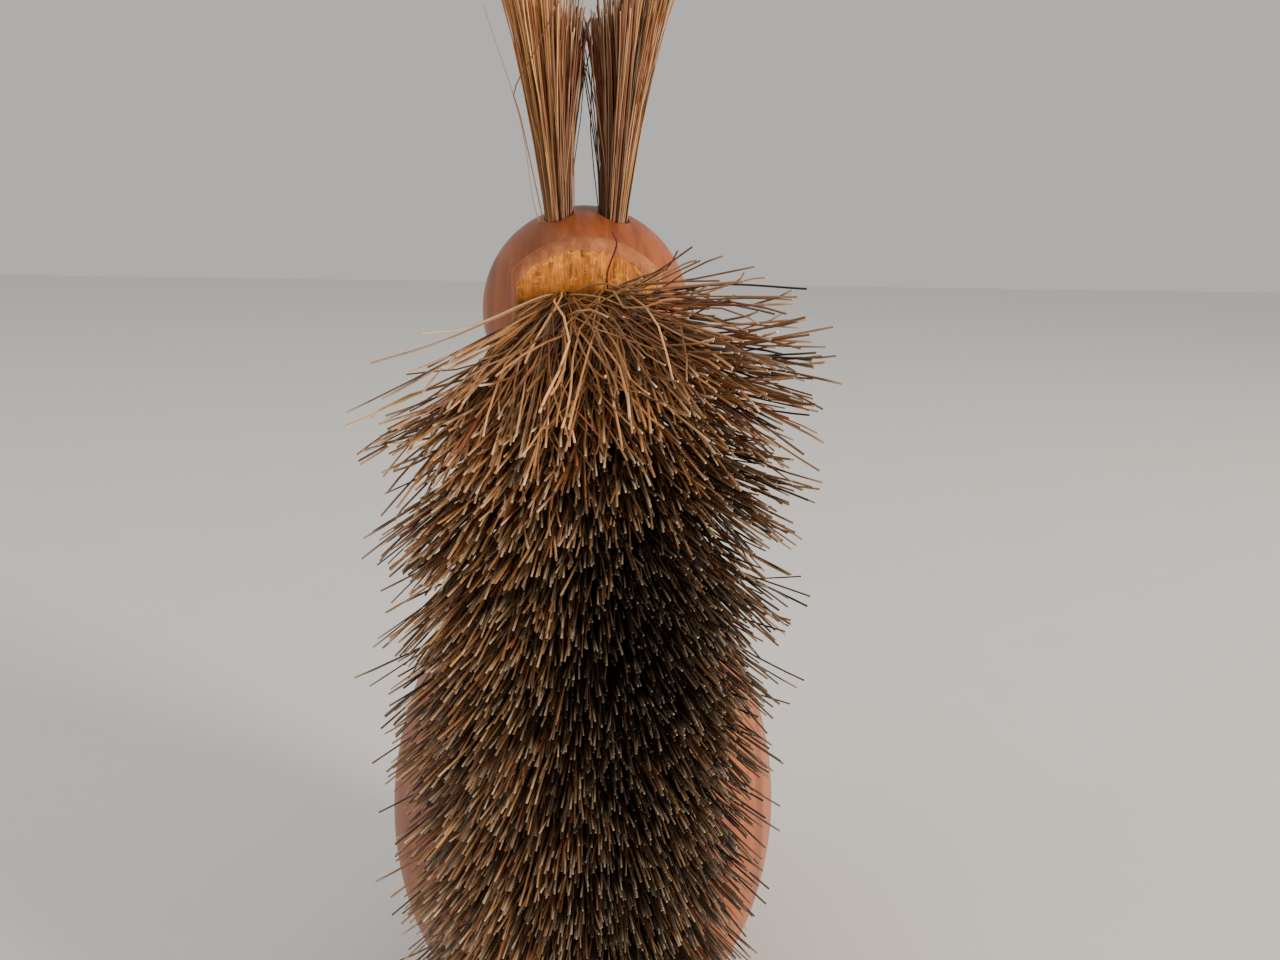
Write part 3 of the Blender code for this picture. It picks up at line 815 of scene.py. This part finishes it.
def tubes(name, paths, radii, colours, shines):
    """One closed tube along each path. Paths and colours are strands x rings x 3."""
    strands, rings, _ = paths.shape
    tangent = np.gradient(paths, axis=1)
    tangent /= np.linalg.norm(tangent, axis=2, keepdims=True)
    chord = paths[:, -1] - paths[:, 0]
    reference = np.where(np.abs(chord[:, 2:3]) > np.abs(chord[:, 1:2]), [[0.0, 1.0, 0.0]], [[0.0, 0.0, 1.0]])
    side = np.cross(tangent, reference[:, None, :])
    side /= np.linalg.norm(side, axis=2, keepdims=True)
    other = np.cross(tangent, side)
    turn = math.tau * np.arange(STRAND_SIDES)[:, None] / STRAND_SIDES
    ring = side[:, :, None, :] * np.cos(turn) + other[:, :, None, :] * np.sin(turn)
    points = paths[:, :, None, :] + ring * radii[:, :, None, None]
    index = np.arange(strands * rings * STRAND_SIDES).reshape(strands, rings, STRAND_SIDES)
    after = np.roll(index, -1, axis=2)
    walls = np.stack([index[:, :-1], index[:, 1:], after[:, 1:], after[:, :-1]], axis=-1).reshape(-1, 4)
    roots = index[:, 0]
    tips = index[:, -1, ::-1]
    loops = np.concatenate([walls.ravel(), roots.ravel(), tips.ravel()])
    sizes = np.concatenate([np.full(len(walls), 4), np.full(2 * strands, STRAND_SIDES)])
    mesh = bpy.data.meshes.new(name)
    mesh.vertices.add(points.size // 3)
    mesh.vertices.foreach_set("co", points.astype(np.float32).ravel())
    mesh.loops.add(len(loops))
    mesh.loops.foreach_set("vertex_index", loops.astype(np.int32))
    mesh.polygons.add(len(sizes))
    mesh.polygons.foreach_set("loop_start", np.concatenate([[0], np.cumsum(sizes)[:-1]]).astype(np.int32))
    mesh.update(calc_edges=True)
    attribute = mesh.color_attributes.new("strand_colour", "FLOAT_COLOR", "POINT")
    tints = np.ones((strands, rings, STRAND_SIDES, 4), np.float32)
    tints[..., :3] = colours[:, :, None, :]
    tints[..., 3] = shines[:, None, None]
    attribute.data.foreach_set("color", tints.ravel())
    smooth(mesh, 50)
    return add_object(name, mesh)


def ring_places(rings):
    """0 at a bristle's root to 1 at its tip, closer together towards the tip."""
    return 1 - (1 - np.linspace(0, 1, rings)) ** TIP_CROWDING


def bend(start, control, end, rings):
    """Quadratic Bezier paths, strands x rings x 3."""
    t = ring_places(rings)[None, :, None]
    return (1 - t) ** 2 * start[:, None] + 2 * (1 - t) * t * control[:, None] + t**2 * end[:, None]


def wobble(paths, random, size):
    """A small sideways wave on every strand, none at its root."""
    strands, rings, _ = paths.shape
    t = ring_places(rings)[None, :, None]
    direction = random.normal(size=(strands, 1, 3))
    phase = random.uniform(0, math.tau, (strands, 1, 1))
    waves = random.uniform(*WAVES, (strands, 1, 1))
    return paths + direction * size * np.sin(phase + math.tau * waves * t) * t


def disc(random, count, radius):
    distance = radius * np.sqrt(random.uniform(0, 1, count))
    angle = random.uniform(0, math.tau, count)
    return distance * np.cos(angle), distance * np.sin(angle)


def hump(value, centre, width):
    """1 at the centre, falling off smoothly on both sides of it."""
    return np.exp(-(((value - centre) / width) ** 2))


def strand_colours(random, weights, tone, root_tone):
    """A palette colour per strand: painted shade at its root; where bare, its cut end is paler, with painted
    glint.
    """
    share = weights / weights.sum(axis=1, keepdims=True)
    draw = random.uniform(0, 1, len(weights))
    pick = (draw[:, None] > np.cumsum(share, axis=1)).sum(axis=1).clip(0, len(PALETTE) - 1)
    base = PALETTE[pick] * (tone * random.uniform(*STRAND_TONES, len(weights)))[:, None]
    # Painted shade, darkening each bristle towards its root.
    shades = [root_tone, 0.3 + 0.7 * root_tone, 1.0, 1.0]
    along = np.interp(ring_places(STRAND_RINGS), [0, 0.5, 0.9, 1.0], shades)
    colours = base[:, None, :] * along[None, :, None]
    # The end's painted glint is dimmed where the bristle's tone is painted darker.
    end = np.array(CUT_END_AND_GLINT) * (CUT_END_LIGHT + (1 - CUT_END_LIGHT) * tone)[:, None]
    bare = random.uniform(0, 1, len(weights))[:, None] ** 2.0
    colours[:, -1] += (end - colours[:, -1]) * bare
    return colours


def looseness(row):
    """1 for the row at the crown, falling off to 0 further down."""
    return math.exp(-row / LOOSE_ROWS)


def tail_directions(random, row, place, across, along):
    """(sideways lean, lift) of a tuft's bristles in degrees. The top rows are loose and hang over."""
    loose = looseness(row)
    lower = row / len(rows)
    per_mm = LEAN_PER_MM + LOWER_LEAN_PER_MM * lower + LOOSE_LEAN_PER_MM * loose
    lean = FIRST_LEAN + LOWER_LEAN * lower + place * per_mm + across / MM * LEAN_PER_ROOT_MM
    lean = lean + random.normal(0, TUFT_LEAN_SCATTER)
    lean += random.normal(0, LEAN_SCATTER + LOOSE_LEAN_SCATTER * loose, TUFT_STRANDS)
    unruly = random.uniform(0, 1, TUFT_STRANDS) < UNRULY_SHARE
    lean += unruly * random.normal(0, UNRULY_LEAN, TUFT_STRANDS)
    lean *= np.where(lean < 0, 1 + lower, 1.0)
    lean = WIDEST_LEAN * np.tanh(lean / WIDEST_LEAN)
    right_share = 1 - LOWER_RIGHT_LESS * lower**2
    left_share = LEFT_SHARE - LOOSE_LEFT_LESS * loose + LOWER_LEFT_MORE * lower
    lean *= np.where(lean > 0, right_share, left_share)
    droop = DROOP + np.where(lean < 0, LEFT_DROOP, RIGHT_DROOP) * np.abs(lean)
    loose_droop = np.where(
        lean < 0,
        LOOSE_DROOP_LEFT[0] - LOOSE_DROOP_LEFT[1] * np.abs(lean),
        LOOSE_DROOP_RIGHT[0] - LOOSE_DROOP_RIGHT[1] * np.abs(lean),
    )
    lift = along / MM * LIFT_PER_ROOT_MM - droop * (1 - loose) - loose_droop * loose
    lift += random.normal(0, TUFT_LIFT_SCATTER) + random.normal(0, LIFT_SCATTER, TUFT_STRANDS)
    lift += unruly * random.normal(0, UNRULY_LIFT, TUFT_STRANDS)
    highest_left = HIGHEST_LEFT - HIGHEST_LEFT_SCATTER * random.uniform(0, 1, TUFT_STRANDS)
    return lean, np.minimum(lift, np.where(lean < 0, highest_left, HIGHEST_RIGHT))


def strand_lengths(random, row):
    """Lengths of a tuft's bristles. Most are full length, and the loose rows are cut less evenly."""
    shorter = SHORTER + looseness(row) * (LOOSE_SHORTER - SHORTER)
    length = TUFT_LENGTH + LOWER_EXTRA * row / len(rows)
    length = length * (1 + random.normal(0, LENGTH_SCATTER, TUFT_STRANDS))
    return length * (1 - shorter * random.uniform(0, 1, TUFT_STRANDS) ** 2)


def tail_strands(row, random):
    """The paths of all the bristles of one row."""
    loose = looseness(row)
    sideways = np.array([1.0, 0.0, 0.0])
    inner, starts, controls, ends = [], [], [], []
    for point, outward in rows[row]:
        upward = np.cross(outward, [-1.0, 0.0, 0.0])
        upward *= np.sign(upward[2])
        across, along = disc(random, TUFT_STRANDS, TUFT_ROOT_RADIUS)
        lean, lift = np.radians(tail_directions(random, row, point[0] / MM, across, along))
        length = strand_lengths(random, row)
        direction = (
            np.sin(lean)[:, None] * sideways
            + np.tan(lift)[:, None] * upward
            + np.cos(lean)[:, None] * np.array(outward)
        )
        direction /= np.linalg.norm(direction, axis=1, keepdims=True)
        root = point + across[:, None] * sideways + along[:, None] * upward
        bow = random.normal(0, BOW + LOOSE_BOW * loose, (TUFT_STRANDS, 3))
        starts.append(root)
        controls.append(
            root + outward * (BEND_OUTWARD * length)[:, None] + BEND_ALONG * length[:, None] * direction + bow
        )
        inner.append(root - ROOT_DEPTH * outward)
        ends.append(root + length[:, None] * direction)
    paths = bend(np.concatenate(starts), np.concatenate(controls), np.concatenate(ends), STRAND_RINGS - 1)
    paths = wobble(paths, random, WAVE + LOOSE_WAVE * loose)
    low = paths[..., 2] < FLOOR_ROOM
    paths[low, 2] = FLOOR_ROOM * np.exp(paths[low, 2] / FLOOR_ROOM - 1)
    return np.concatenate([np.concatenate(inner)[:, None], paths], axis=1)


def tail_colours(random, row, reach):
    """Colours of a row's bristles, from how far their tips reach sideways in millimetres.

    The tail is painted palest at its left edge and its crown, dark right of its middle, and nearly black in
    the shadow under the crown, all as painted light and shade.
    """
    loose = looseness(row)
    lower = row / len(rows)
    middle = hump(reach, MIDDLE_REACH, MIDDLE_WIDTH) * (1 - math.exp(-row / MIDDLE_ROWS))
    left = np.clip(-reach / SIDE_REACH, -1, 1)
    # Painted shadow, nearly black, under the overhanging crown rows.
    overhang_shadow = OVERHANG_SHADOW_DARK * hump(row, OVERHANG_SHADOW_ROW, OVERHANG_SHADOW_ROWS) * hump(reach, OVERHANG_SHADOW_REACH, OVERHANG_SHADOW_WIDTH)
    # Palette shifts and tone by place paint the tail's light and shade.
    weights = TAIL_SHARES * np.ones((len(reach), 1))
    weights *= 1 + left[:, None] * MORE_AT_LEFT
    weights *= 1 + middle[:, None] * MORE_IN_MIDDLE
    weights *= 1 + loose * MORE_WHEN_LOOSE
    weights *= 1 + overhang_shadow[:, None] * MORE_IN_OVERHANG_SHADOW
    tone = 1 - (MIDDLE_DARK - LOWER_MIDDLE_LIGHT * lower) * middle - RIGHT_DARK * np.clip(-left, 0, 1)
    tone *= TAIL_TONE + LOOSE_LIGHT * loose
    tone *= 1 - SHADED_DARK * hump(row, SHADED_ROW, SHADED_ROWS)
    tone *= 1 - overhang_shadow
    tone *= 1 - LOOSE_LEFT_DARK * loose * left
    tone *= 1 + CROWN_LIGHT * loose * hump(reach, 0, CROWN_WIDTH)
    tone *= 1 + LOWER_LEFT_LIGHT * np.clip(left, 0, 1) * lower
    # Painted shade at the roots, lighter in the loose crown rows.
    root_tone = TAIL_ROOT_TONE + LOOSE_ROOT_LIGHT * loose
    return strand_colours(random, weights, tone, root_tone) * TAIL_TINT


def thicknesses(random, count, radius, shares):
    """A radius for each ring of each strand, between two shares of the given one."""
    return radius * random.uniform(*shares, (count, 1)) * np.ones((1, STRAND_RINGS))


def make_tail_row(row, material):
    random = np.random.default_rng(SEED + row)
    paths = tail_strands(row, random)
    colours = tail_colours(random, row, paths[:, -1, 0] / MM)
    radii = thicknesses(random, len(paths), STRAND_RADIUS, THICKNESS_SHARES)
    name = row_names[row].replace("tail_tufts", "tail_bristles")
    piece = tubes(name, paths, radii, colours, random.uniform(0, 1, len(paths)))
    piece.data.materials.append(material)
    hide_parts(row_names[row])
    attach(piece, "root")


def make_strays(name, strays, radius, material):
    """Single bristles that stand apart from the rest, each (colour, points)."""
    paths = np.array([smooth_curve(points, STRAY_RINGS) for _, *points in strays]) * MM
    radii = np.full((len(strays), STRAY_RINGS), radius)
    colours = np.array([[colour] * STRAY_RINGS for colour, *_ in strays])
    piece = tubes(name, paths, radii, colours, np.full(len(strays), 0.5))
    piece.data.materials.append(material)
    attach(piece, "root")


def make_ear(name, root, outward, side, material):
    """A long flaring bundle whose cut end rises from its inner to its outer side."""
    random = np.random.default_rng(EAR_SEED + side)
    middle = root + outward * EAR_MOUTH
    sideways = np.cross([0.0, 1.0, 0.0], outward)
    sideways /= np.linalg.norm(sideways)
    backwards = np.cross(outward, sideways)
    across, along = disc(random, EAR_STRANDS, 1.0)
    outer = across * side
    length = EAR_LENGTH + EAR_SLANT * outer + random.normal(0, EAR_LENGTH_SCATTER, EAR_STRANDS)
    flare = EAR_FLARE * (length / EAR_FLARE_LENGTH) ** EAR_FLARE_POWER + EAR_ROOT_RADIUS
    flare *= np.where(outer < 0, INNER_FLARE, OUTER_FLARE)
    drift = random.normal(0, EAR_DRIFT, (2, EAR_STRANDS))
    start = (
        middle
        + (across[:, None] * sideways + along[:, None] * backwards) * EAR_ROOT_RADIUS
        - outward * EAR_ROOT_DEPTH
    )
    end = (
        middle
        + outward * length[:, None]
        + (across * flare + drift[0])[:, None] * sideways
        + (along * flare + drift[1])[:, None] * backwards
    )
    control = start + outward * (EAR_BEND_OUTWARD * length + EAR_BEND_START)[:, None]
    control += (end - start) * EAR_BEND_ALONG
    control += random.normal(0, EAR_BOW, (EAR_STRANDS, 3))
    paths = wobble(bend(start, control, end, STRAND_RINGS), random, EAR_WAVE)
    inside = np.clip(EAR_INSIDE_START - outer, 0, 1)
    weights = EAR_SHARES * (1 + inside[:, None] * MORE_INSIDE_EAR)
    # Painted light: the left ear is lighter than the right; each is darker on its inner side.
    tone = EAR_TONES[name] * (1 - EAR_INSIDE_DARK * inside)
    colours = strand_colours(random, weights, tone, EAR_ROOT_TONE) * EAR_TINT
    radii = thicknesses(random, EAR_STRANDS, EAR_STRAND_RADIUS, EAR_THICKNESS_SHARES)
    piece = tubes("ear_bristles_" + name, paths, radii, colours, random.uniform(0, 1, EAR_STRANDS))
    piece.data.materials.append(material)
    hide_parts("ear_tuft_" + name)
    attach(piece, "root")


# --- Stage, light and camera ---


def make_stage():
    bpy.ops.mesh.primitive_plane_add(size=FLOOR_SIZE, location=(0, 0, cad_low.z - FLOOR_GAP))
    floor = bpy.context.object
    floor.name = "floor"
    shader = Shader("pale_floor")
    mottle = shader.noise((40, 40, 40), detail=4.0)
    shader.set("Base Color", shader.mix(mottle, *FLOOR_COLOURS))
    shader.set("Roughness", shader.plus(shader.times(mottle, 0.1), 0.65))
    shader.set("Normal", shader.bump(mottle, 0.1, 0.2 * MM))
    floor.data.materials.append(shader.material)
    world = bpy.data.worlds.new("studio")
    world.use_nodes = True
    background = world.node_tree.nodes["Background"].inputs
    background["Color"].default_value = SKY_COLOUR
    background["Strength"].default_value = SKY_STRENGTH
    bpy.context.scene.world = world


def make_lights():
    middle = (cad_low + cad_high) / 2
    for name, offset, size, power, colour in LIGHTS:
        light = bpy.data.lights.new(name, "AREA")
        light.size = size
        light.energy = power
        light.color = colour
        lamp = add_object(name, light)
        lamp.location = middle + Vector(offset)
        lamp.rotation_euler = (-Vector(offset)).to_track_quat("-Z", "Y").to_euler()


def make_camera():
    """A camera that is turned by the yaw, then tipped by the pitch, then rolled about its own axis."""
    forward = Vector(
        (
            math.sin(CAMERA_YAW) * math.cos(CAMERA_PITCH),
            math.cos(CAMERA_YAW) * math.cos(CAMERA_PITCH),
            math.sin(CAMERA_PITCH),
        )
    )
    level = Vector((math.cos(CAMERA_YAW), -math.sin(CAMERA_YAW), 0.0))
    above = level.cross(forward)
    right = level * math.cos(CAMERA_ROLL) + above * math.sin(CAMERA_ROLL)
    up = above * math.cos(CAMERA_ROLL) - level * math.sin(CAMERA_ROLL)
    data = bpy.data.cameras.new("camera")
    data.lens = CAMERA_LENS
    data.sensor_width = CAMERA_SENSOR
    data.clip_start = 1 * MM
    camera = add_object("camera", data)
    turn = Matrix((right, up, -forward)).transposed().to_4x4()
    camera.matrix_world = Matrix.Translation(CAMERA_PLACE) @ turn
    bpy.context.scene.camera = camera


ear_roots = {"left": ear_root("ear_tuft_left"), "right": ear_root("ear_tuft_right")}
red_wood = turned_wood("turned_wood")
golden_wood = board_wood("tail_wood")
tail_hair = bristle_material("tail_horsehair", roughness=0.30, gloss=0.5)
ear_hair = bristle_material("ear_horsehair", roughness=0.46, gloss=0.35)
beech = plain_material("raw_beech", BEECH, roughness=0.7)
steel = plain_material("anchor_steel", STEEL, roughness=0.35, metallic=1.0, grain=0.15)

# The small inner pieces are shown as the CAD has them.
for node, material in (
    ("neck_dowel", beech),
    ("tail_dowel_lower", beech),
    ("tail_dowel_upper", beech),
    ("ear_anchor_left", steel),
    ("ear_anchor_right", steel),
):
    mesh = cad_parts[node].data
    mesh.materials.clear()
    mesh.materials.append(material)

make_camera()
make_stage()
make_lights()
make_body(red_wood)
make_head(red_wood, ear_roots.values())
make_board(golden_wood)
for row in range(len(rows)):
    make_tail_row(row, tail_hair)
make_ear("left", *ear_roots["left"], -1, ear_hair)
make_ear("right", *ear_roots["right"], 1, ear_hair)
make_strays("tail_strays", TAIL_STRAYS, TAIL_STRAY_RADIUS, tail_hair)
make_strays("ear_strays", EAR_STRAYS, EAR_STRAY_RADIUS, ear_hair)
